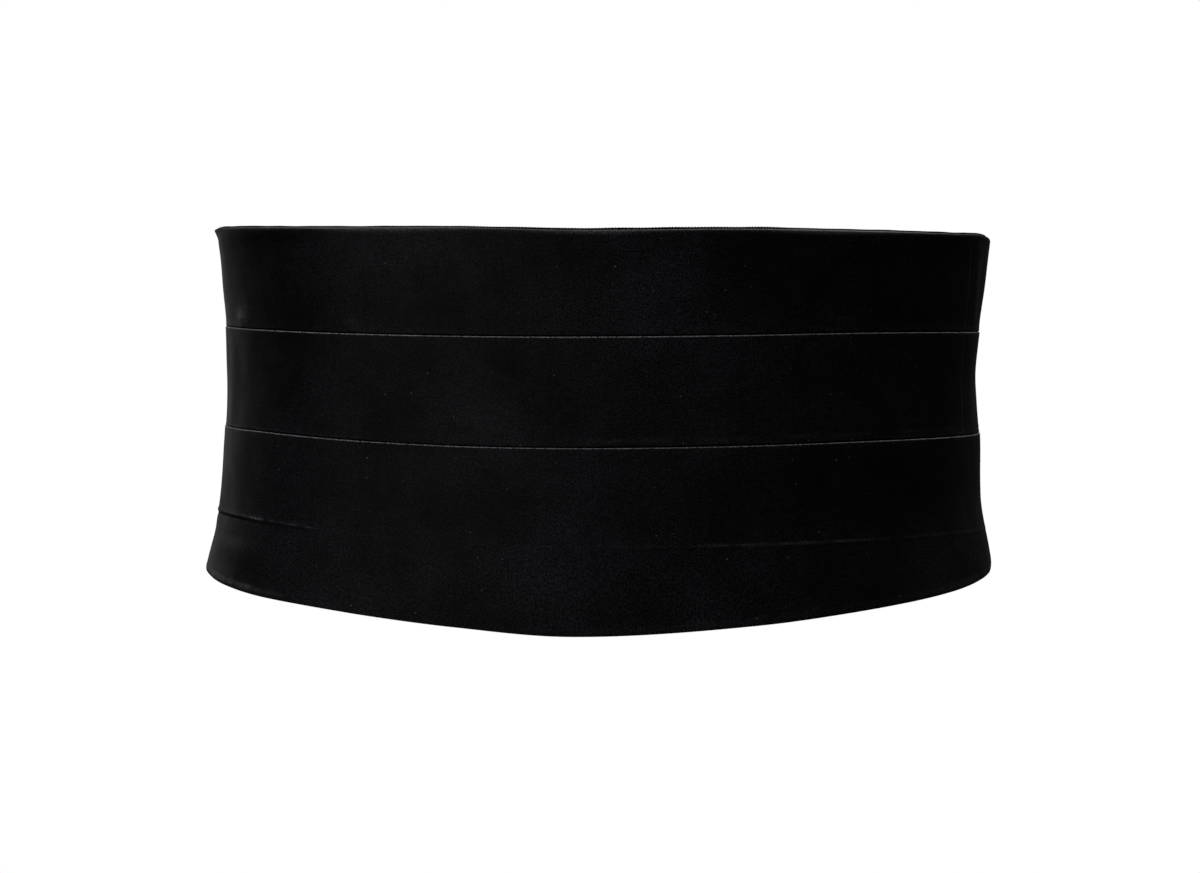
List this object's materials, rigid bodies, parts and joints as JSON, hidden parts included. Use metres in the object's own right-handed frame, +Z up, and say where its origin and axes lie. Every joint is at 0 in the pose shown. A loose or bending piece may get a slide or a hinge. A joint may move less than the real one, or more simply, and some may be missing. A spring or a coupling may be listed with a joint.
{
  "type": "cummerbund",
  "caption": "Black satin cummerbund in worn shape: front in upward knife pleats with a lining, tapered side wings, elastic back strap with slide, hook and eye.",
  "frame": {"origin": "middle of the waist hollow at its narrowest level, where the wearer's waist holds it", "axes": "+X to the right seen from the front, the pleated front faces -Y, +Z up"},
  "size_m": [0.2994, 0.2176, 0.1441],
  "materials": {
    "satin": "black matt satin, close weave, soft sheen",
    "lining": "black ribbed lining",
    "elastic": "black woven elastic, ribbed across",
    "hardware": "black enamelled steel"
  },
  "bodies": {
    "root": {"front_pleats": "satin", "front_lining": "lining", "wing_left": "satin", "wing_right": "satin", "strap_left": "elastic", "strap_right": "elastic", "strap_slide": "hardware", "strap_hook": "hardware", "strap_eye": "hardware"}
  },
  "joints": []
}
